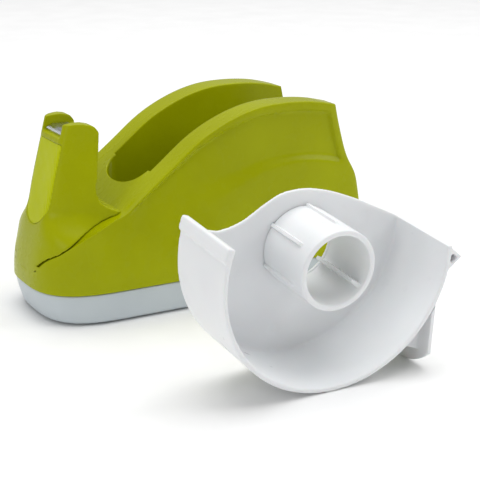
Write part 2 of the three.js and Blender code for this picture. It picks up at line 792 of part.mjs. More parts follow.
const dispenser = new THREE.Group();
dispenser.add(piece('housing', housing(), limePlastic));
dispenser.add(piece('cutter_tower', tower(), limePlastic));
dispenser.add(piece('front_panel', frontPanel(), panelPlastic));
dispenser.add(piece('cutter_blade', blade(), bladeSteel));
dispenser.add(piece('base_shell', base(), basePlastic));
dispenser.add(piece('ballast_weight', ballast(), ballastIron));
dispenser.add(piece('nonslip_pad', padShape(padLength / 2, padWidth / 2, 0, padThickness), padFoam));
screwSpots.forEach(([x, y], i) => {
  const body = screw(x, y, screwSeat, screwRadius, baseScrewLength);
  dispenser.add(piece(`base_screw_${i + 1}`, body, screwSteel));
});
[-towerScrewY, towerScrewY].forEach((y, i) => {
  const body = screw(towerScrewX, y, towerScrewSeat, towerScrewRadius, towerScrewLength);
  dispenser.add(piece(`tower_screw_${i + 1}`, body, screwSteel));
});

// The tray stands on the near edge of its rim.
const lean = THREE.MathUtils.degToRad(trayTilt);
const trayLift = trayFloorGap + (rimRadius - rimCentreZ) * Math.cos(lean) - nearEdge * Math.sin(lean);

const tapeTray = new THREE.Group();
tapeTray.position.set(trayX, trayY, trayLift);
tapeTray.rotation.x = lean;
tapeTray.add(piece('tape_tray', tray(), whitePlastic));
tapeTray.add(piece('tape_hub', hub(), whitePlastic));
tapeTray.add(piece('tray_latch', latch(), whitePlastic));
dispenser.add(tapeTray);

export default dispenser;
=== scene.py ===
# %% [markdown]
# A small desk tape dispenser: a lime housing with a slot for a tape tray, a cutter tower with
# a serrated blade, a pale base, and the white tray lifted out and stood beside it. The packed
# CAD model comes in first as a fixed frame. Everything that shows is then built around it, in
# millimetres, and turned to metres once, when the mesh is made.

import json
import math

import bmesh
import bpy
import numpy as np
from mathutils import Matrix, Vector


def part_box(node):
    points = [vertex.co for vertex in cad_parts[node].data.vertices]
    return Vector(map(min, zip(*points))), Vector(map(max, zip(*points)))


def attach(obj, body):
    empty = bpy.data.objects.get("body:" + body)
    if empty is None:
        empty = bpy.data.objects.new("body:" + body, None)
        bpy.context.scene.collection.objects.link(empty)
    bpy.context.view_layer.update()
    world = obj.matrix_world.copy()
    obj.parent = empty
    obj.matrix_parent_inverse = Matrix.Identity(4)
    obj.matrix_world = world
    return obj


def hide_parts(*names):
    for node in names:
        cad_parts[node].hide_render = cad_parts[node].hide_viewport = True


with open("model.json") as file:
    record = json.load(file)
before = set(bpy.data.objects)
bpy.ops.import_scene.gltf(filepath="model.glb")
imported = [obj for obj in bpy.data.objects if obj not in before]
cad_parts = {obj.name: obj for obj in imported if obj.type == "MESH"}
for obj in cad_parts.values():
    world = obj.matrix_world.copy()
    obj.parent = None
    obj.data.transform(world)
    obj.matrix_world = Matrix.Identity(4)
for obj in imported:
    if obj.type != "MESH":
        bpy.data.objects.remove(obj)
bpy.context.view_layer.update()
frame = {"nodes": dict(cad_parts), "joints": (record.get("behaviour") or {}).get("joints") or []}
MM = 0.001
nodes = frame["nodes"]
print("CAD nodes:", len(nodes))

# %% [markdown]
# The pieces meet the CAD parts, so their main sizes are read from the boxes of the CAD nodes.
# What is left are shapes that a box can't give, such as how the nose leans back as it rises.

# %% Main sizes, in millimetres
def box_mm(node):
    """Lowest and highest corner of a CAD node, in millimetres."""
    low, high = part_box(node)
    return np.array(low) / MM, np.array(high) / MM


housing_low, housing_high = box_mm("housing")
_, tower_high = box_mm("cutter_tower")
base_low, base_high = box_mm("base_shell")
BODY_FRONT = housing_low[0]
BODY_REAR = housing_high[0]
BODY_HALF_WIDTH = housing_high[1]
BODY_HEIGHT = housing_high[2]
HOUSING_FOOT = housing_low[2]
BASE_TOP = base_high[2]
TOWER_TOP = tower_high[2]
NOSE_LENGTH = 27.0
NOSE_POWER = 3.0
TAIL_POWER = 34.0
print("body %.1f x %.1f x %.1f mm" % (BODY_REAR - BODY_FRONT, 2 * BODY_HALF_WIDTH, BODY_HEIGHT))

# %% [markdown]
# Every surface here is a grid of points worked out as whole numpy arrays: a formula gives the
# place of row i and column j, and neighbours are joined by four-cornered faces. Where a grid
# closes on itself the ends are joined, and rows that shrink to a line or a point are merged.

# %% Grids, prisms and curves
def curve(pairs, at):
    """Smooth curve through [x, value] pairs.

    It is made of cubic pieces, whose slope at each pair is the central difference of its neighbours.
    """
    xs, values = np.array(pairs, float).T
    slopes = np.gradient(values, xs)
    at = np.clip(at, xs[0], xs[-1])
    i = np.clip(np.searchsorted(xs, at, side="right") - 1, 0, len(xs) - 2)
    step = xs[i + 1] - xs[i]
    t = (at - xs[i]) / step
    start = (1 + 2 * t) * (1 - t) ** 2 * values[i] + t * (1 - t) ** 2 * step * slopes[i]
    end = t * t * (3 - 2 * t) * values[i + 1] + t * t * (t - 1) * step * slopes[i + 1]
    return start + end


def ramp(q):
    """0 below 0, 1 above 1, and the smooth step 3q^2 - 2q^3 between."""
    q = np.clip(q, 0, 1)
    return q * q * (3 - 2 * q)


def finish_mesh(name, mesh):
    """Merges doubled points, turns the faces outwards and links the piece."""
    work = bmesh.new()
    work.from_mesh(mesh)
    bmesh.ops.remove_doubles(work, verts=work.verts, dist=2e-6)
    bmesh.ops.recalc_face_normals(work, faces=work.faces)
    work.to_mesh(mesh)
    work.free()
    piece = bpy.data.objects.new(name, mesh)
    bpy.context.scene.collection.objects.link(piece)
    return piece


def grid_piece(name, points, wrap_rows=False, wrap_columns=True):
    """Mesh of a (rows, columns, 3) array in millimetres: each face joins four neighbours."""
    rows, columns, _ = points.shape
    index = np.arange(rows * columns).reshape(rows, columns)
    if wrap_rows:
        index = np.vstack([index, index[:1]])
    if wrap_columns:
        index = np.hstack([index, index[:, :1]])
    corners = [index[:-1, :-1], index[:-1, 1:], index[1:, 1:], index[1:, :-1]]
    faces = np.stack([c.ravel() for c in corners], axis=1)
    mesh = bpy.data.meshes.new(name)
    mesh.from_pydata((points.reshape(-1, 3) * MM).tolist(), [], faces.tolist())
    return finish_mesh(name, mesh)


def prism_piece(name, outline, low, high, axis):
    """Closed prism: point pairs carried along one axis from low to high, with both ends filled."""
    outline = np.array(outline, float)
    count = len(outline)
    across = [k for k in range(3) if k != axis]
    points = np.zeros((2, count, 3))
    points[:, :, across] = outline
    points[0, :, axis] = low
    points[1, :, axis] = high
    i = np.arange(count)
    j = np.roll(i, -1)
    sides = np.stack([i, j, j + count, i + count], axis=1).tolist()
    mesh = bpy.data.meshes.new(name)
    ends = [i.tolist(), (i + count).tolist()]
    mesh.from_pydata((points.reshape(-1, 3) * MM).tolist(), [], sides + ends)
    return finish_mesh(name, mesh)


def arc(x, z, radius, start, end, count):
    """Points on a circle from one angle to another, in radians."""
    angle = np.linspace(start, end, count)
    return np.stack([x + radius * np.cos(angle), z + radius * np.sin(angle)], axis=1)


# %% [markdown]
# A moulded shell has small round fillets where its faces meet. Cutting one solid from another
# leaves knife edges, so the cut result is laid out again on a fine voxel grid and relaxed a
# few steps, which rounds every edge by about a voxel or two and leaves the faces where they are.

# %% Cut, join and soften
def modify(piece, kind, **settings):
    """Adds a modifier with its settings."""
    modifier = piece.modifiers.new(kind.title(), kind)
    for key, value in settings.items():
        setattr(modifier, key, value)
    return modifier


def settle(piece):
    """Puts the result of the modifiers into the mesh."""
    graph = bpy.context.evaluated_depsgraph_get()
    mesh = bpy.data.meshes.new_from_object(piece.evaluated_get(graph))
    piece.modifiers.clear()
    piece.data = mesh
    return piece


def cut(piece, *tools, solver="EXACT"):
    """Takes the tools' solids away from the piece, and removes the tools."""
    for tool in tools:
        modify(piece, "BOOLEAN", operation="DIFFERENCE", object=tool, solver=solver)
        settle(piece)
        bpy.data.objects.remove(tool)
    return piece


def join(piece, *others):
    """Puts other closed shells into the same mesh; soften() then fuses them."""
    work = bmesh.new()
    work.from_mesh(piece.data)
    for other in others:
        work.from_mesh(other.data)
        bpy.data.objects.remove(other)
    work.to_mesh(piece.data)
    work.free()
    return piece


def soften(piece, voxel, steps):
    """Lays the surface out again in squares of the voxel's size, in millimetres, and relaxes it."""
    modify(piece, "REMESH", mode="VOXEL", voxel_size=voxel * MM, adaptivity=0)
    modify(piece, "SMOOTH", factor=0.5, iterations=steps)
    settle(piece)
    piece.data.shade_smooth()
    return piece


# %% [markdown]
# The housing's plan is a superellipse: a rounded nose in front of its widest place and an
# almost square tail behind it. As the wall rises, the nose leans back and the tail leans in.

# %% Plan of the body
nose_line = [
    [HOUSING_FOOT, BODY_FRONT],
    [16, BODY_FRONT + 0.3],
    [24, BODY_FRONT + 2],
    [34, BODY_FRONT + 4.8],
    [46, BODY_FRONT + 8],
    [BODY_HEIGHT, BODY_FRONT + 13.2],
]
tail_line = [
    [HOUSING_FOOT, BODY_REAR - 0.4],
    [16, BODY_REAR],
    [24, BODY_REAR - 0.5],
    [32, BODY_REAR - 1.6],
    [38, BODY_REAR - 3],
    [44, BODY_REAR - 6.2],
    [54, BODY_REAR - 9.4],
    [BODY_HEIGHT, BODY_REAR - 12],
]
MIDDLE = BODY_FRONT + NOSE_LENGTH
LOFT_REPEATS = 12
RAY_REPEATS = 14


def superellipse(t, front, rear, middle, half, front_power, rear_power):
    """Point at angle t on |x/a|^p + |y/b|^p = 1.

    A ray at angle t is scaled by (|cos t|^p + |sin t|^p)^(-1/p). In front of the middle a and p are
    those of the front, and behind it those of the rear.
    """
    c = np.cos(t)
    s = np.sin(t)
    power = np.where(c < 0, front_power, rear_power)
    reach = np.where(c < 0, middle - front, rear - middle)
    scale = (np.abs(c) ** power + np.abs(s) ** power) ** (-1 / power)
    return middle + reach * c * scale, half * s * scale


def body_plan(t, z):
    """Outline of the housing at angle t and height z."""
    return superellipse(
        t, curve(nose_line, z), curve(tail_line, z), MIDDLE, BODY_HALF_WIDTH, NOSE_POWER, TAIL_POWER
    )


def closed_loft(name, plan, foot, top, columns, rows):
    """Solid between two heights that depend on x.

    Rows climb the wall, and both ends close on the middle line. The height of row v is
    foot + v (top - foot). Foot and top are taken at the row's own x, which a few repeats settle.
    """
    t = np.linspace(0, 2 * np.pi, columns, endpoint=False)[None, :]
    v = np.linspace(0, 1, rows)[:, None]
    x = np.zeros((rows, columns)) + plan(t, HOUSING_FOOT + 0 * v)[0]
    for _ in range(LOFT_REPEATS):
        z = foot(x) + v * (top(x) - foot(x))
        x, y = plan(t, z)
    side = np.stack([x, y, z], axis=-1)
    under = side[:1] * [1, 0, 1]
    over = side[-1:] * [1, 0, 1]
    return grid_piece(name, np.concatenate([under, side, over]))


# %% [markdown]
# The side walls rise from a saddle behind the tower to a long crest. Each side carries a
# shallow panel with a raised border along the crest and the rear edge. Towards the front the
# panel's lower step fades out. The whole step is a small inward move of the wall.

# %% Housing
top_line = [
    [BODY_FRONT - 3, 14.8],
    [BODY_FRONT + 0.5, 16.6],
    [BODY_FRONT + 2.3, 20.1],
    [BODY_FRONT + 6.2, 23.9],
    [BODY_FRONT + 11.2, 27.8],
    [BODY_FRONT + 16.8, 31.2],
    [BODY_FRONT + 22.3, 34.2],
    [-30.7, 35.7],
    [-25.6, BODY_HEIGHT - 25.5],
    [-15, BODY_HEIGHT - 17.3],
    [-4.3, BODY_HEIGHT - 9.1],
    [6.4, BODY_HEIGHT - 3.7],
    [17.5, BODY_HEIGHT - 0.6],
    [28.5, BODY_HEIGHT],
    [40.2, BODY_HEIGHT - 1.1],
    [BODY_REAR - 10.8, BODY_HEIGHT - 2.9],
]
border_width = [[-30, 0.7], [-10, 1.3], [10, 2.1], [30, 2.5], [45, 2.4]]
step_line = [
    [-32, 24],
    [-20, 31],
    [-8, 36.6],
    [10, 42],
    [17.6, 44.6],
    [25, 45.8],
    [33, 46.1],
    [41, 45.3],
    [50, 43.2],
]
step_softness = [[-30, 14], [-5, 11], [10, 6], [25, 3.2], [50, 2.4]]
PANEL_DEPTH = 1.2
PANEL_EDGE = 1.3
REAR_BORDER = 3.0
PANEL_FRONT = -31
FRONT_FADE = 9
SIDE_START = 18
SIDE_FADE = 3


def side_panel(x, y, z):
    """Depth of the side panel.

    It is the product of ramps in from the crest, from the rear edge, from the step and from the
    front, and it acts on the side walls only.
    """
    below_crest = ramp((curve(top_line, x) - curve(border_width, x) - z) / PANEL_EDGE)
    before_rear = ramp((curve(tail_line, z) - REAR_BORDER - x) / PANEL_EDGE)
    above_step = ramp((z - curve(step_line, x)) / curve(step_softness, x) + 0.5)
    behind_front = ramp((x - PANEL_FRONT) / FRONT_FADE)
    on_side = ramp((y - SIDE_START) / SIDE_FADE)
    return PANEL_DEPTH * below_crest * before_rear * above_step * behind_front * on_side


SLOT_HALF_WIDTH = 13.9
SLOT_FRONT = -17.8
SLOT_SILL = 18.5
SEAT_X = 19.5
SEAT_Z = 50.0
SEAT_RADIUS = 37.3
THROAT_LENGTH = 6.4
THROAT_HALF_WIDTH = 12.4
THROAT_FLOOR = 31.0
THROAT_POWER = 2.2
ABOVE = BODY_HEIGHT + 20
EDGE_ROUND = 0.5
THROAT_COLUMNS = 84
LANE_COLUMNS = 170
FOOT_ROWS = 7
WALL_ROWS = 64
EASE_ROWS = 6
CREST_STEPS = 6
FLOOR_STEPS = 13


def slot_floor(x):
    """Height of the slot's floor: the throat's flat floor, a circle's lower part, then the sill."""
    circle = SEAT_Z - np.sqrt(np.clip(SEAT_RADIUS ** 2 - (x - SEAT_X) ** 2, 0, None))
    behind = np.where(x > SEAT_X, np.minimum(circle, SLOT_SILL), circle)
    return np.where(x < SLOT_FRONT, THROAT_FLOOR, np.minimum(behind, THROAT_FLOOR))


def plan_at(t, height_of):
    """Where a ray at angle t meets the body when the height depends on the x that it meets."""
    z = np.full_like(t, 40.0)
    for _ in range(RAY_REPEATS):
        x, y = body_plan(t, z)
        z = height_of(x)
    return x, y, z


def housing_half():
    """Half of the housing as one grid.

    Columns run along a U from the nose to the rear. Rows climb the outside, cross the top, go down
    the slot and cross its floor. Outside is the body plan at height z, less the side panel. On top
    z = crest(x). Inside is half a superellipse for the throat, then a straight wall that ends on the
    tail line. A quarter round of one radius joins each wall to the top.
    """
    t_all = np.linspace(np.pi, 0.3, 4000)
    x_all, _, _ = plan_at(t_all, lambda x: curve(top_line, x))
    t_throat = np.interp(SLOT_FRONT, x_all, t_all)
    t_rear = math.atan2(SLOT_HALF_WIDTH, BODY_HALF_WIDTH)
    t = np.concatenate([
        np.linspace(np.pi, t_throat, THROAT_COLUMNS),
        np.linspace(t_throat - 1e-4, t_rear, LANE_COLUMNS),
    ])
    in_throat = np.arange(len(t)) < THROAT_COLUMNS
    swing = np.clip((np.pi - t) / (np.pi - t_throat), 0, 1) * np.pi / 2
    throat_x = SLOT_FRONT - THROAT_LENGTH * np.abs(np.cos(swing)) ** (2 / THROAT_POWER)
    throat_y = THROAT_HALF_WIDTH * np.sin(swing) ** (2 / THROAT_POWER)

    top_x, top_y, top_z = plan_at(t, lambda x: curve(top_line, x))
    inner_x = np.where(in_throat, throat_x, top_x)
    inner_y = np.where(in_throat, throat_y, SLOT_HALF_WIDTH)
    across = np.hypot(inner_x - top_x, inner_y - top_y)
    ease = np.minimum(EDGE_ROUND, 0.45 * across)
    aim_x = (inner_x - top_x) / np.maximum(across, 1e-6)
    aim_y = (inner_y - top_y) / np.maximum(across, 1e-6)
    rows = []
    wall_top = top_z - EDGE_ROUND
    for share in np.linspace(0, 1, FOOT_ROWS)[:-1]:
        z = HOUSING_FOOT + share * (SLOT_SILL - HOUSING_FOOT) + 0 * t
        x, y = body_plan(t, z)
        rows.append((x, y - side_panel(x, y, z), z))
    for share in np.linspace(0, 1, WALL_ROWS):
        z = SLOT_SILL + share * (wall_top - SLOT_SILL)
        x, y = body_plan(t, z)
        rows.append((x, y - side_panel(x, y, z), z))
    for turn in np.linspace(0, np.pi / 2, EASE_ROWS)[1:]:
        z = wall_top + EDGE_ROUND * math.sin(turn)
        x, y = body_plan(t, z)
        move = ease * (1 - math.cos(turn))
        rows.append((x + aim_x * move, y + aim_y * move, z))
    for share in np.linspace(0, 1, CREST_STEPS)[1:-1]:
        move = ease + share * (across - 2 * ease)
        x = top_x + aim_x * move
        rows.append((x, top_y + aim_y * move, curve(top_line, x)))
    crest_in = curve(top_line, inner_x)
    for turn in np.linspace(np.pi / 2, 0, EASE_ROWS)[:-1]:
        move = ease * (1 - math.cos(turn))
        z = crest_in - EDGE_ROUND * (1 - math.sin(turn))
        lane_x, _ = body_plan(t, z)
        x = np.where(in_throat, inner_x, lane_x)
        rows.append((x - aim_x * move, inner_y - aim_y * move, z))
    floor_x, _, floor_z = plan_at(t, slot_floor)
    floor_x = np.where(in_throat, inner_x, floor_x)
    floor_z = np.where(in_throat, THROAT_FLOOR, floor_z)
    for share in np.linspace(0, 1, WALL_ROWS):
        z = crest_in - EDGE_ROUND + share * (floor_z - crest_in + EDGE_ROUND)
        lane_x, _ = body_plan(t, z)
        rows.append((np.where(in_throat, inner_x, lane_x), inner_y, z))
    for share in np.linspace(1, 0, FLOOR_STEPS)[1:]:
        rows.append((floor_x, inner_y * share, floor_z))
    return np.array(rows).transpose(0, 2, 1)


def rear_apron():
    """Half of the face under the slot's open back: the tail line, carried across to the middle."""
    z = (HOUSING_FOOT + np.linspace(0, 1, FOOT_ROWS) * (SLOT_SILL - HOUSING_FOOT))[:, None]
    y = SLOT_HALF_WIDTH * np.linspace(1, 0, FLOOR_STEPS)[None, :]
    return np.stack([curve(tail_line, z) + 0 * y, y + 0 * z, z + 0 * y], axis=-1)


def mirrored(points):
    """The same grid on the other side of the middle plane."""
    return points * [1, -1, 1]


def closed_underside(piece):
    """Merges the seams and fills the one opening left, the foot."""
    work = bmesh.new()
    work.from_mesh(piece.data)
    bmesh.ops.remove_doubles(work, verts=work.verts, dist=1e-5)
    bmesh.ops.dissolve_degenerate(work, dist=1e-6, edges=work.edges)
    rim = [e for e in work.edges if e.is_boundary]
    bmesh.ops.holes_fill(work, edges=rim, sides=0)
    bmesh.ops.recalc_face_normals(work, faces=work.faces)
    print(piece.name, "open edges:", sum(e.is_boundary for e in work.edges),
          "odd edges:", sum(not e.is_manifold for e in work.edges))
    work.to_mesh(piece.data)
    work.free()
    return piece


half = housing_half()
apron = rear_apron()
housing = grid_piece("housing_shell", half, wrap_columns=False)
join(
    housing,
    grid_piece("other_half", mirrored(half), wrap_columns=False),
    grid_piece("apron", apron, wrap_columns=False),
    grid_piece("other_apron", mirrored(apron), wrap_columns=False),
)
closed_underside(housing)
housing.data.shade_smooth()
housing.data.set_sharp_from_angle(angle=math.radians(38))
print("housing:", len(housing.data.polygons), "faces")

# %% [markdown]
# The tower's plan narrows as it rises, from the full width of the body at its foot to the two
# ears, and its back sweeps forward into a neck. It is lofted between the joint and the ears, and
# laid out on a voxel grid so that it cuts cleanly. Then the gap between the ears and the shallow
# bed of the front panel are cut from it.

# %% Tower
TOWER_REAR = -34.3
TOWER_HALF_WIDTH = 12.9
TOWER_NOSE = 10.0
TOWER_FRONT_HALF_WIDTH = 9.6
TOWER_SQUARENESS = 9.0
EAR_THICKNESS = 5.8
FLARE_FOOT = 24.0
FLARE_RISE = 34.0
CORNER_RISE = 12.0
SQUARE_RISE = 18.0
LEDGE_HEIGHT = 58.0
BLADE_BED = 59.2
FLAT_POWER = 40.0
back_line = [
    [34.8, -29.4],
    [35.6, -30.4],
    [37.4, TOWER_REAR - 0.6],
    [41, TOWER_REAR - 2.9],
    [47, TOWER_REAR - 2.0],
    [54, TOWER_REAR - 0.5],
    [60, TOWER_REAR],
    [TOWER_TOP, TOWER_REAR],
]
ear_line = [
    [BODY_FRONT - 6, TOWER_TOP - 12],
    [TOWER_REAR - 12.4, TOWER_TOP - 2.4],
    [TOWER_REAR - 10.4, TOWER_TOP - 0.6],
    [TOWER_REAR - 7, TOWER_TOP],
    [TOWER_REAR - 3.4, TOWER_TOP - 0.2],
    [TOWER_REAR - 1, TOWER_TOP - 1.3],
    [TOWER_REAR, TOWER_TOP - 2.8],
]


def tower_sizes(z):
    """Front, middle, half width, nose power and taper of the tower's plan at height z."""
    t = ramp((z - FLARE_FOOT) / FLARE_RISE)
    front = curve(nose_line, z)
    middle = MIDDLE + (front + TOWER_NOSE - MIDDLE) * t
    half = BODY_HALF_WIDTH + (TOWER_HALF_WIDTH - BODY_HALF_WIDTH) * t
    power = NOSE_POWER + (TOWER_SQUARENESS - NOSE_POWER) * ramp((z - FLARE_FOOT) / SQUARE_RISE)
    taper = (1 - TOWER_FRONT_HALF_WIDTH / half) * ramp((z - FLARE_FOOT) / CORNER_RISE)
    return front, middle, half, power, taper


def tower_plan(t, z):
    """Outline of the tower at angle t and height z.

    The back is flat, and y draws in by the taper towards the front.
    """
    front, middle, half, power, taper = tower_sizes(z)
    rear = np.maximum(curve(back_line, z), middle + 0.5)
    x, y = superellipse(t, front, rear, middle, half, power, FLAT_POWER)
    y = y * (1 - taper * np.clip((middle - x) / (middle - front), 0, 1))
    return np.minimum(x, curve(back_line, z)), y


def ear_gap():
    """Side view of the gap between the ears: a front ledge, a slope and the bed under the blade."""
    outline = [
        [BODY_FRONT - 8, LEDGE_HEIGHT - 0.9],
        [-46.5, LEDGE_HEIGHT],
        [-43.7, LEDGE_HEIGHT + 0.1],
        [-42.6, BLADE_BED],
        [-10, BLADE_BED],
        [-10, ABOVE],
        [BODY_FRONT - 8, ABOVE],
    ]
    half = TOWER_HALF_WIDTH - EAR_THICKNESS
    return prism_piece("ear_gap", outline, -half, half, 1)


PANEL_HALF_WIDTH = 8.8
PANEL_FOOT = 30.1
PANEL_TOP = 56.3
PANEL_ROWS = 40
PANEL_COLUMNS = 61


def panel_solid(name, inset, face, depth, rounding):
    """Plate on the tower's front, with a round foot.

    At height z the point u across is y = u times the half width there, and x is measured back from
    the front face. The section is a flat loop: across at depth face, and back at face + depth, with
    its front corners eased by rounding.
    """
    half = PANEL_HALF_WIDTH - inset
    centre = PANEL_FOOT + PANEL_HALF_WIDTH
    lean = np.linspace(-np.pi / 2, 0, PANEL_ROWS)
    straight = np.linspace(centre, PANEL_TOP - inset, PANEL_ROWS)[1:]
    z = np.concatenate([centre + half * np.sin(lean), straight])
    reach = np.concatenate([half * np.cos(lean), np.full(len(straight), half)])
    u = np.linspace(-1, 1, PANEL_COLUMNS)
    across = np.concatenate([u, u[::-1]])[None, :]
    z = z[:, None] + 0 * across
    y = reach[:, None] * across
    front, middle, wide, power, taper = tower_sizes(z)
    wide = wide * (1 - taper)
    across_face = np.clip(np.abs(y) / wide, 0, 0.999)
    skin = middle - (middle - front) * (1 - across_face ** power) ** (1 / power)
    edge = np.maximum(half - np.abs(y), 0)
    eased = rounding * (1 - np.clip(edge / rounding, 0, 1)) ** 2 if rounding else 0
    back = np.concatenate([np.zeros(PANEL_COLUMNS), np.ones(PANEL_COLUMNS)])[None, :]
    x = skin + face + back * depth + (1 - back) * eased
    points = np.stack([x, y, z], axis=-1)
    cap = points[-1:].copy()
    cap[..., 1] = 0
    cap[..., 0] = x[-1].mean()
    return grid_piece(name, np.concatenate([points, cap]))


tower = closed_loft(
    "cutter_tower_shell",
    tower_plan,
    foot=lambda x: curve(top_line, x) + 0.05,
    top=lambda x: curve(ear_line, x),
    columns=420,
    rows=150,
)
TOWER_VOXEL = 0.3
BED_REACH = 6.0
BED_DEPTH = 1.7
soften(tower, TOWER_VOXEL, 0)
panel_bed = panel_solid("panel_bed", 0.0, -BED_REACH, BED_REACH + BED_DEPTH, 0)
cut(tower, ear_gap(), panel_bed, solver="MANIFOLD")
soften(tower, TOWER_VOXEL, 3)
print("tower:", len(tower.data.polygons), "faces")

# %% Front panel
front_panel = panel_solid("front_panel_plate", 0.1, 0.2, 1.2, 0.4)
front_panel.data.shade_smooth()
front_panel.data.set_sharp_from_angle(angle=math.radians(40))
print("front panel:", len(front_panel.data.polygons), "faces")

# %% [markdown]
# The base is a shallow tray under the housing. It stands back by half a millimetre, draws in
# towards the table, and has a round lower edge.

# %% Base
BASE_STEP = 0.5
BASE_DRAFT = 2.6
SIDE_DRAFT = 0.4
BASE_FOOT = base_low[2]
LOWER_EDGE = 1.4
UPPER_EDGE = 0.5
WELL_RADIUS = 3.0
WELL_DEPTH = 2.1
PAD_GAP = 0.3
PAD_CORNER = 4.0


def quarter(distance, radius):
    """How far a quarter-round edge stands back at a distance from its end: r - sqrt(r^2 - (r - d)^2)."""
    d = np.clip(distance, 0, radius)
    return radius - np.sqrt(radius ** 2 - (radius - d) ** 2)


def base_plan(t, z):
    """Outline of the base at angle t and height z: the housing's foot, stepped back and drafted."""
    low = (np.clip(BASE_TOP - z, 0, None) / (BASE_TOP - BASE_FOOT)) ** 1.4
    edge = quarter(z - BASE_FOOT, LOWER_EDGE) + quarter(BASE_TOP - z, UPPER_EDGE)
    front = BODY_FRONT + BASE_STEP + BASE_DRAFT * low + edge
    rear = BODY_REAR - 0.4 - BASE_STEP - BASE_DRAFT * low - edge
    half = BODY_HALF_WIDTH - BASE_STEP - SIDE_DRAFT * low - edge
    return superellipse(t, front, rear, MIDDLE, half, NOSE_POWER, TAIL_POWER)


def rounded_box(name, half_length, half_width, radius, low, high):
    """Closed block with round corners in plan."""
    corners = [(1, -1, -0.5), (1, 1, 0.0), (-1, 1, 0.5), (-1, -1, 1.0)]
    x = half_length - radius
    y = half_width - radius
    outline = [
        arc(side_x * x, side_y * y, radius, start * np.pi, (start + 0.5) * np.pi, 9)
        for side_x, side_y, start in corners
    ]
    return prism_piece(name, np.vstack(outline), low, high, 2)


_, pad_high = box_mm("nonslip_pad")
base = closed_loft(
    "base_shell_body",
    base_plan,
    foot=lambda x: BASE_FOOT + 0 * x,
    top=lambda x: BASE_TOP + 0 * x,
    columns=560,
    rows=60,
)
screw_wells = []
for number in range(1, 5):
    low, high = box_mm("base_screw_%d" % number)
    centre = (low + high) / 2
    well = arc(centre[0], centre[1], WELL_RADIUS, 0, 2 * np.pi, 33)[:-1]
    screw_wells.append(prism_piece("well_%d" % number, well, -1, low[2] + WELL_DEPTH, 2))
bed_high = pad_high + PAD_GAP
pad_bed = rounded_box("pad_bed", bed_high[0], bed_high[1], PAD_CORNER + PAD_GAP, -1, bed_high[2])
cut(base, pad_bed, *screw_wells)
base.data.shade_smooth()
base.data.set_sharp_from_angle(angle=math.radians(35))
print("base:", len(base.data.polygons), "faces")

# %% [markdown]
# The tray is modelled in its own frame, with the hub's axis along Y and the hub's near end at
# y = 0, and is then stood on its rim the way the CAD tray stands. Its side plate is a grid
# round the hub: the angle gives the direction, and the second number runs from the bore to the
# plate's edge and back along the other face.

# %% Tray frame
TRAY_WIDTH = 27.0
PLATE = 1.3
RIM_RADIUS = 36.8
RIM_WALL = 1.4
RIM_X = -1.8
RIM_Z = 2.3
HUB_RADIUS = 11.9
HUB_WALL = 1.6
NEAR_EDGE = -4.5
PLATE_OUTSIDE = TRAY_WIDTH + NEAR_EDGE
PLATE_INSIDE = PLATE_OUTSIDE - PLATE
LEAN = math.atan2(frame["joints"][1]["axis"][2], frame["joints"][1]["axis"][1])
TRAY_X = -1.7
TRAY_Y = -100.5
TRAY_LIFT = 0.05 + (RIM_RADIUS - RIM_Z) * math.cos(LEAN) - NEAR_EDGE * math.sin(LEAN)


def stand(piece):
    """Moves a piece's points from the tray's own frame to where the tray stands."""
    place = Matrix.Translation(Vector((TRAY_X, TRAY_Y, TRAY_LIFT)) * MM) @ Matrix.Rotation(LEAN, 4, "X")
    piece.data.transform(place)
    return piece


# %% Tray plate, rim, lip and grip
RIM_START = math.radians(166)
RIM_END = math.radians(362.4)
plate_top = [
    [-32.6, 8.6],
    [-25, 8],
    [-18.5, 9.8],
    [-12.7, 13.2],
    [-7.4, 15.9],
    [-0.7, 16.8],
    [7.3, 15.5],
    [17.2, 11.9],
    [29.5, 6.1],
    [34.2, 3.8],
]
pin_marks = [[6.0, 12.3], [21.5, 5.5], [-24.5, 1.5], [-7.0, -25.5]]
PIN_RADIUS = 1.9
PIN_DEPTH = 0.16
PLATE_ANGLES = 900
PLATE_STEPS = 70


def plate_edge(angle):
    """Distance from the hub's axis to the plate's edge, in each direction."""
    rim = arc(RIM_X, RIM_Z, RIM_RADIUS - 0.05, RIM_START, RIM_END, 300)
    xs = np.linspace(plate_top[-1][0], plate_top[0][0], 200)
    edge = np.vstack([rim, np.stack([xs, curve(plate_top, xs)], axis=1)])
    direction = np.unwrap(np.arctan2(edge[:, 1], edge[:, 0]))
    return np.interp(angle, direction, np.hypot(edge[:, 0], edge[:, 1]), period=2 * np.pi)


def tray_plate():
    """Plate round the hub's bore: rows run out along the near face and back along the far face."""
    angle = np.linspace(0, 2 * np.pi, PLATE_ANGLES, endpoint=False)[None, :]
    out = np.linspace(0, 1, PLATE_STEPS)
    bore = HUB_RADIUS - HUB_WALL
    reach = plate_edge(angle) - bore
    fraction = np.concatenate([out, out[::-1]])[:, None]
    radius = bore + reach * fraction
    x = radius * np.cos(angle)
    z = radius * np.sin(angle)
    dent = sum(ramp((PIN_RADIUS - np.hypot(x - px, z - pz)) / 0.5 + 0.5) for px, pz in pin_marks)
    near = (np.arange(2 * PLATE_STEPS) < PLATE_STEPS)[:, None]
    y = np.where(near, PLATE_INSIDE + PIN_DEPTH * dent, PLATE_OUTSIDE)
    return grid_piece("plate", np.stack([x, y, z], axis=-1), wrap_rows=True)


BAND_ANGLES = 220
BAND_WIDTHS = 12
BAND_DEPTHS = 4


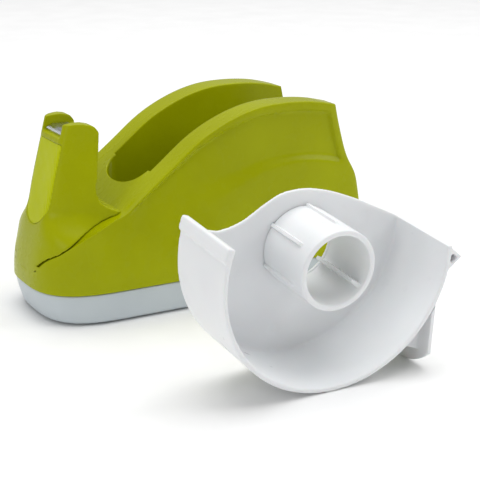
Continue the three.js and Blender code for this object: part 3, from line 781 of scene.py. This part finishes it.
def swept_band(name, inner, outer, start, end, low, high):
    """Closed band round the rim's centre: radii from inner to outer, widths from low to high."""
    angle = np.linspace(start, end, BAND_ANGLES)[:, None]
    width = np.linspace(low, high, BAND_WIDTHS)
    depth = np.linspace(inner, outer, BAND_DEPTHS)
    loop_r = np.concatenate([
        np.full(BAND_WIDTHS, inner), depth[1:], np.full(BAND_WIDTHS - 1, outer), depth[::-1][1:-1],
    ])
    loop_y = np.concatenate([
        width, np.full(BAND_DEPTHS - 1, high), width[::-1][1:], np.full(BAND_DEPTHS - 2, low),
    ])
    x = RIM_X + loop_r[None, :] * np.cos(angle)
    z = RIM_Z + loop_r[None, :] * np.sin(angle)
    points = np.stack([x, loop_y[None, :] + 0 * x, z], axis=-1)
    first, last = [
        np.repeat(points[k].mean(axis=0)[None, None], len(loop_r), axis=1) for k in (0, -1)
    ]
    return grid_piece(name, np.concatenate([first, points, last]))


def grip_wedge():
    """Hollow wedge behind the top of the rim, open at both sides."""
    x = RIM_X + RIM_RADIUS * math.cos(RIM_END)
    outer = [[x - 1, 3.9], [x - 1, -4.1], [x + 3.9, -0.1]]
    inner = [[x - 3, 2.3], [x - 3, -2.5], [x - 0.1, -2.0], [x + 2.3, -0.1], [x - 0.1, 1.8]]
    wedge = prism_piece("grip_wedge", outer, NEAR_EDGE, PLATE_OUTSIDE, 1)
    hollow = prism_piece("grip_hollow", inner, NEAR_EDGE - 1, PLATE_OUTSIDE + 1, 1)
    return cut(wedge, hollow)


LIP_PROUD = 0.9
LIP_START = RIM_START - math.radians(4.6)
LIP_END = RIM_START + math.radians(1.9)
RIM_INSIDE = RIM_RADIUS - RIM_WALL
LIP_RADIUS = RIM_RADIUS + LIP_PROUD
TRAY_VOXEL = 0.42
tray = join(
    tray_plate(),
    swept_band("rim", RIM_INSIDE, RIM_RADIUS, RIM_START, RIM_END, NEAR_EDGE, PLATE_OUTSIDE),
    swept_band("lip", RIM_INSIDE, LIP_RADIUS, LIP_START, LIP_END, NEAR_EDGE, PLATE_OUTSIDE),
    grip_wedge(),
)
tray.name = "tape_tray_shell"
soften(tray, TRAY_VOXEL, 2)
stand(tray)
print("tray:", len(tray.data.polygons), "faces")

# %% Hub
RIB_START = math.radians(22)
RIB_COUNT = 6
RIB_HEIGHT = 0.7
RIB_WIDTH = 1.1
RIB_SETBACK = 5.0
FIN_ANGLE = math.radians(-38)
FIN_HEIGHT = 2.6
FIN_WIDTH = 1.3
FIN_SETBACK = 1.5
HUB_END = PLATE_INSIDE - 0.3
HUB_ANGLES = 900
HUB_STEPS = 50
HUB_LIP = 0.4
RIB_FADE = 0.8


def bump(angle, centre, width, radius):
    """1 within a rib of the given width at that radius, with short ramps at both sides."""
    offset = np.abs((angle - centre + np.pi) % (2 * np.pi) - np.pi) * radius
    return ramp((width / 2 - offset) / 0.3 + 0.5)


def hub_grid():
    """Tube along Y: rows run out along the outside, back along the bore and round the near end."""
    angle = np.linspace(0, 2 * np.pi, HUB_ANGLES, endpoint=False)[None, :]
    along = np.linspace(HUB_LIP, HUB_END, HUB_STEPS)
    bend = np.linspace(0, np.pi, 9)[1:-1]
    bore = HUB_RADIUS - HUB_WALL
    mid = HUB_RADIUS - HUB_WALL / 2
    y = np.concatenate([along, along[::-1], HUB_LIP - HUB_LIP * np.sin(bend)])[:, None]
    lip_r = mid - (HUB_WALL / 2) * np.cos(bend)
    r = np.concatenate([np.full(HUB_STEPS, HUB_RADIUS), np.full(HUB_STEPS, bore), lip_r])[:, None]
    row = np.arange(len(r))[:, None]
    outside = row < HUB_STEPS
    inside = (row >= HUB_STEPS) & (row < 2 * HUB_STEPS)
    rib_angles = [RIB_START + 2 * np.pi * k / RIB_COUNT for k in range(RIB_COUNT)]
    ribs = sum(bump(angle, place, RIB_WIDTH, HUB_RADIUS) for place in rib_angles)
    fin = bump(angle, FIN_ANGLE, FIN_WIDTH, HUB_RADIUS - HUB_WALL - 1)
    r = r + outside * RIB_HEIGHT * ribs * ramp((y - RIB_SETBACK) / RIB_FADE)
    r = r - inside * FIN_HEIGHT * fin * ramp((y - FIN_SETBACK) / RIB_FADE)
    return np.stack([r * np.cos(angle), y + 0 * angle, r * np.sin(angle)], axis=-1)


hub = grid_piece("tape_hub_tube", hub_grid(), wrap_rows=True)
hub.data.shade_smooth()
hub.data.set_sharp_from_angle(angle=math.radians(50))
stand(hub)
print("hub:", len(hub.data.polygons), "faces")

# %% Latch tongue
TONGUE_X = RIM_X + RIM_RADIUS - 3.6
TONGUE_WALL = 1.2
TONGUE_DROP = RIM_RADIUS - RIM_Z + 1.1
TONGUE_ROUND = 6.0
TONGUE_ROOT = -13.4
CATCH_TOP = 10.2 - TONGUE_DROP
CATCH_REACH = 5
CATCH_OFFSET = 7.5
CATCH_HALF_WIDTH = 0.6


def latch_tongue():
    """Plate under the grip with a bowed lower end, which rises with |t|^2.2 away from the middle."""
    half = (PLATE_OUTSIDE - NEAR_EDGE) / 2 - 0.2
    middle = (PLATE_OUTSIDE + NEAR_EDGE) / 2
    t = np.linspace(-1, 1, 41)
    foot = np.stack([middle + half * t, -TONGUE_DROP + TONGUE_ROUND * np.abs(t) ** 2.2], axis=1)
    outline = np.vstack([foot, [[middle + half, TONGUE_ROOT], [middle - half, TONGUE_ROOT]]])
    tongue = prism_piece("tongue", outline, TONGUE_X - TONGUE_WALL, TONGUE_X, 0)
    side = [
        [TONGUE_X - TONGUE_WALL / 2, CATCH_TOP + 3.6],
        [TONGUE_X - CATCH_REACH, CATCH_TOP],
        [TONGUE_X - CATCH_REACH, CATCH_TOP - 3.2],
        [TONGUE_X - TONGUE_WALL / 2, CATCH_TOP - 5],
    ]
    for place in (middle - CATCH_OFFSET, middle + CATCH_OFFSET):
        catch = prism_piece("catch", side, place - CATCH_HALF_WIDTH, place + CATCH_HALF_WIDTH, 1)
        join(tongue, catch)
    soften(tongue, 0.25, 2)
    rim_clear = arc(RIM_X, RIM_Z, RIM_RADIUS + 0.3, 0, 2 * np.pi, 241)[:-1]
    return cut(tongue, prism_piece("rim_clear", rim_clear, NEAR_EDGE - 2, PLATE_OUTSIDE + 2, 1))


latch = latch_tongue()
latch.name = "tray_latch_tongue"
latch.data.shade_smooth()
latch.data.set_sharp_from_angle(angle=math.radians(50))
stand(latch)
print("latch:", len(latch.data.polygons), "faces")

# %% [markdown]
# The blade, the pad, the screws and the ballast already have their true shape in the CAD model
# and are shown as they are. The blade and the pad also get a fine bevel, so that their edges catch
# the light. The bevel needs merged points, which a weld in the modifier stack gives it.

# %% Edges of the CAD parts
def ease_edges(node, width):
    """Merges the CAD part's triangles and bevels its sharp edges by a width in millimetres."""
    piece = nodes[node]
    modify(piece, "WELD", merge_threshold=1e-6)
    modify(
        piece, "BEVEL", width=width * MM, segments=2,
        limit_method="ANGLE", angle_limit=math.radians(35),
    )
    return piece


ease_edges("cutter_blade", 0.08)
ease_edges("nonslip_pad", 0.3)

# %% [markdown]
# Materials come next. One function turns the hex colours that a maker would quote into the
# linear values that Blender works with, and one adds a node with its settings and links.

# %% Colour and node helpers
def linear(code):
    """sRGB hex to linear: c / 12.92 in the darks, ((c + 0.055) / 1.055)^2.4 above."""
    parts = [int(code[i:i + 2], 16) / 255 for i in (1, 3, 5)]
    return tuple(c / 12.92 if c <= 0.04045 else ((c + 0.055) / 1.055) ** 2.4 for c in parts) + (1.0,)


def add(tree, kind, settings=None, **links):
    """Adds a node, sets its properties and unlinked sockets, and links the named sockets."""
    node = tree.nodes.new(kind)
    for key, value in (settings or {}).items():
        if hasattr(node, key) and key not in node.inputs:
            setattr(node, key, value)
        else:
            node.inputs[key].default_value = value
    for key, source in links.items():
        tree.links.new(source, node.inputs[key.replace("_", " ")])
    return node


def per_mm(size):
    """Texture scale on Object coordinates, in metres, for features of a size in millimetres."""
    return 1 / (size * MM)


def moulded(name, dark, light, roughness, peel, grain=0.0, glow=0.0):
    """Moulded plastic: a slow drift of colour and gloss, and a skin whose bump is peel and grain."""
    material = bpy.data.materials.new(name)
    material.use_nodes = True
    tree = material.node_tree
    tree.nodes.clear()
    place = add(tree, "ShaderNodeTexCoord").outputs["Object"]
    drift = add(tree, "ShaderNodeTexNoise", {"Scale": per_mm(24), "Detail": 3.0}, Vector=place)
    flow = add(tree, "ShaderNodeTexNoise", {"Scale": per_mm(5), "Detail": 4.0}, Vector=place)
    skin = add(tree, "ShaderNodeTexNoise", {"Scale": per_mm(1.4), "Detail": 2.0}, Vector=place)
    fine = add(tree, "ShaderNodeTexNoise", {"Scale": per_mm(0.35), "Detail": 2.0}, Vector=place)
    tint = add(tree, "ShaderNodeValToRGB", None, Fac=drift.outputs["Fac"])
    tint.color_ramp.elements[0].position = 0.3
    tint.color_ramp.elements[0].color = linear(dark)
    tint.color_ramp.elements[1].position = 0.7
    tint.color_ramp.elements[1].color = linear(light)
    gloss = add(
        tree, "ShaderNodeMapRange",
        {"From Min": 0.3, "From Max": 0.7, "To Min": roughness - 0.05, "To Max": roughness + 0.07},
        Value=flow.outputs["Fac"],
    )
    soft = add(
        tree, "ShaderNodeBump", {"Strength": peel, "Distance": 0.0002}, Height=skin.outputs["Fac"],
    )
    sharp = add(
        tree, "ShaderNodeBump", {"Strength": grain, "Distance": 0.0001},
        Height=fine.outputs["Fac"], Normal=soft.outputs["Normal"],
    )
    shader = add(
        tree, "ShaderNodeBsdfPrincipled",
        {
            "IOR": 1.53,
            "Specular IOR Level": 0.1,
            "Subsurface Weight": glow,
            "Subsurface Scale": 0.002,
        },
        Base_Color=tint.outputs["Color"],
        Roughness=gloss.outputs["Result"],
        Normal=sharp.outputs["Normal"],
    )
    add(tree, "ShaderNodeOutputMaterial", None, Surface=shader.outputs["BSDF"])
    return material, tree, shader, sharp


# %% [markdown]
# The housing and tower are ABS from a polished mould, coloured lime through and through. A
# polished mould still leaves a faint orange peel, which breaks up the reflections a little.

# %% Lime ABS, polished mould
lime_gloss, _, _, _ = moulded("lime_abs_polished_mould", "#9aa000", "#a2a900", 0.26, 0.03, 0.0)

# %% [markdown]
# The front panel is the same plastic with fine slanting lines cut in the mould. A wave texture
# turned by the lines' slope draws them as a bump.

# %% Lime ABS, ribbed panel
LINE_PITCH = 0.9
LINE_SLOPE = math.radians(25)
lime_ribbed, tree, shader, skin_bump = moulded(
    "lime_abs_diagonal_lines", "#b6bf00", "#bec700", 0.42, 0.04, 0.1
)
turned = add(
    tree, "ShaderNodeMapping", {"Rotation": (LINE_SLOPE, 0, 0)},
    Vector=tree.nodes["Texture Coordinate"].outputs["Object"],
)
lines = add(
    tree, "ShaderNodeTexWave",
    {
        "wave_type": "BANDS",
        "bands_direction": "Y",
        "Scale": math.pi / (10 * LINE_PITCH * MM),
        "Distortion": 0.0,
    },
    Vector=turned.outputs["Vector"],
)
ribbed = add(
    tree, "ShaderNodeBump", {"Strength": 0.5, "Distance": 0.0003},
    Height=lines.outputs["Fac"], Normal=skin_bump.outputs["Normal"],
)
tree.links.new(ribbed.outputs["Normal"], shader.inputs["Normal"])

# %% White and pale grey plastics
tray_white, _, _, _ = moulded("white_abs_satin_mould", "#e9ebed", "#eff1f2", 0.32, 0.03, 0.02, glow=0.05)
base_grey, _, _, _ = moulded("pale_grey_abs_satin_mould", "#bfc7cc", "#c6ced2", 0.34, 0.04, 0.04)

# %% [markdown]
# The blade is strip steel, punched and left bright. Rolling leaves fine lines along the strip,
# so the noise is stretched a lot along Y.

# %% Steels, rubber and cast iron
def rolled_steel(name, code, roughness, stretch):
    """Metal with fine lines: noise squeezed across the strip and stretched along it."""
    material = bpy.data.materials.new(name)
    material.use_nodes = True
    tree = material.node_tree
    tree.nodes.clear()
    place = add(tree, "ShaderNodeTexCoord").outputs["Object"]
    drawn = add(tree, "ShaderNodeMapping", {"Scale": stretch}, Vector=place)
    noise = add(
        tree, "ShaderNodeTexNoise", {"Scale": per_mm(0.25), "Detail": 3.0},
        Vector=drawn.outputs["Vector"],
    )
    gloss = add(
        tree, "ShaderNodeMapRange",
        {"From Min": 0.3, "From Max": 0.7, "To Min": roughness - 0.06, "To Max": roughness + 0.1},
        Value=noise.outputs["Fac"],
    )
    lines = add(
        tree, "ShaderNodeBump", {"Strength": 0.12, "Distance": 0.00005}, Height=noise.outputs["Fac"],
    )
    shader = add(
        tree, "ShaderNodeBsdfPrincipled", {"Base Color": linear(code), "Metallic": 1.0},
        Roughness=gloss.outputs["Result"], Normal=lines.outputs["Normal"],
    )
    add(tree, "ShaderNodeOutputMaterial", None, Surface=shader.outputs["BSDF"])
    return material


blade_steel = rolled_steel("strip_steel_bright_rolled", "#c9cdd4", 0.22, (1.0, 0.06, 1.0))
screw_steel = rolled_steel("steel_zinc_plated", "#a9abad", 0.32, (1.0, 1.0, 0.2))
rubber, _, _, _ = moulded("rubber_sheet_fine_grain", "#262729", "#303134", 0.78, 0.5, 0.8)
iron, _, _, _ = moulded("iron_sand_cast", "#4a4c4e", "#5a5c5e", 0.7, 1.0, 0.8)

# %% Put the materials on
def paint(piece, material):
    """Gives a piece one material."""
    piece.data.materials.clear()
    piece.data.materials.append(material)


paint(housing, lime_gloss)
paint(tower, lime_gloss)
paint(front_panel, lime_ribbed)
paint(base, base_grey)
for piece in (tray, hub, latch):
    paint(piece, tray_white)
paint(nodes["cutter_blade"], blade_steel)
paint(nodes["nonslip_pad"], rubber)
paint(nodes["ballast_weight"], iron)
for name, node in nodes.items():
    if "screw" in name:
        paint(node, screw_steel)

# %% Which body each piece moves with
stands_for = [
    (housing, "dispenser", "housing"),
    (tower, "dispenser", "cutter_tower"),
    (front_panel, "dispenser", "front_panel"),
    (base, "dispenser", "base_shell"),
    (tray, "tray", "tape_tray"),
    (hub, "tray", "tape_hub"),
    (latch, "latch", "tray_latch"),
]
for piece, body, node in stands_for:
    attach(piece, body)
    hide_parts(node)
    print(piece.name, "rides on", body)

# %% [markdown]
# The stage is a plain pale floor that fills the view, lit by soft light from above, as on a
# product table. The camera is a long lens, low and to the left of the dispenser's side.

# %% Floor
FLOOR_HALF = 3000.0
FLOOR_THICKNESS = 20
FLOOR_GAP = 0.02
corners = [[-1, -1], [1, -1], [1, 1], [-1, 1]]
floor = prism_piece("floor", FLOOR_HALF * np.array(corners), -FLOOR_THICKNESS, -FLOOR_GAP, 2)
paper, _, _, _ = moulded("white_paper_sweep", "#f4f4f4", "#f8f8f8", 0.9, 0.02, 0.0)
paint(floor, paper)

# %% Lights
def area_light(name, place, aim, size, power, colour="#ffffff"):
    """Square soft light at a place, facing a point, both in millimetres."""
    data = bpy.data.lights.new(name, "AREA")
    data.shape = "SQUARE"
    data.size = size * MM
    data.energy = power
    data.color = linear(colour)[:3]
    light = bpy.data.objects.new(name, data)
    light.location = Vector(place) * MM
    light.rotation_euler = (Vector(aim) - Vector(place)).to_track_quat("-Z", "Y").to_euler()
    bpy.context.scene.collection.objects.link(light)
    return light


area_light("overhead", (150, 150, 1300), (0, -30, 0), 1500, 18)
area_light("front_left", (-1100, -320, 460), (0, -30, 30), 500, 2.0)
area_light("rear_right", (330, -260, 260), (70, -10, 30), 160, 0.35)
world = bpy.data.worlds.new("soft_room")
world.use_nodes = True
world.node_tree.nodes["Background"].inputs["Color"].default_value = linear("#ffffff")
world.node_tree.nodes["Background"].inputs["Strength"].default_value = 0.38
bpy.context.scene.world = world
bpy.context.scene.view_settings.view_transform = "Standard"

# %% Camera
CAMERA_AZIMUTH = math.radians(-29.013)
CAMERA_ELEVATION = math.radians(17.236)
camera_data = bpy.data.cameras.new("camera")
camera_data.sensor_width = 36
camera_data.lens = 103.7
camera_data.clip_end = 20
camera = bpy.data.objects.new("camera", camera_data)
camera.location = Vector((-200.04, -401.94, 155.5)) * MM
back = Vector((
    math.sin(CAMERA_AZIMUTH) * math.cos(CAMERA_ELEVATION),
    -math.cos(CAMERA_AZIMUTH) * math.cos(CAMERA_ELEVATION),
    math.sin(CAMERA_ELEVATION),
))
camera.rotation_euler = (-back).to_track_quat("-Z", "Y").to_euler()
bpy.context.scene.collection.objects.link(camera)
bpy.context.scene.camera = camera
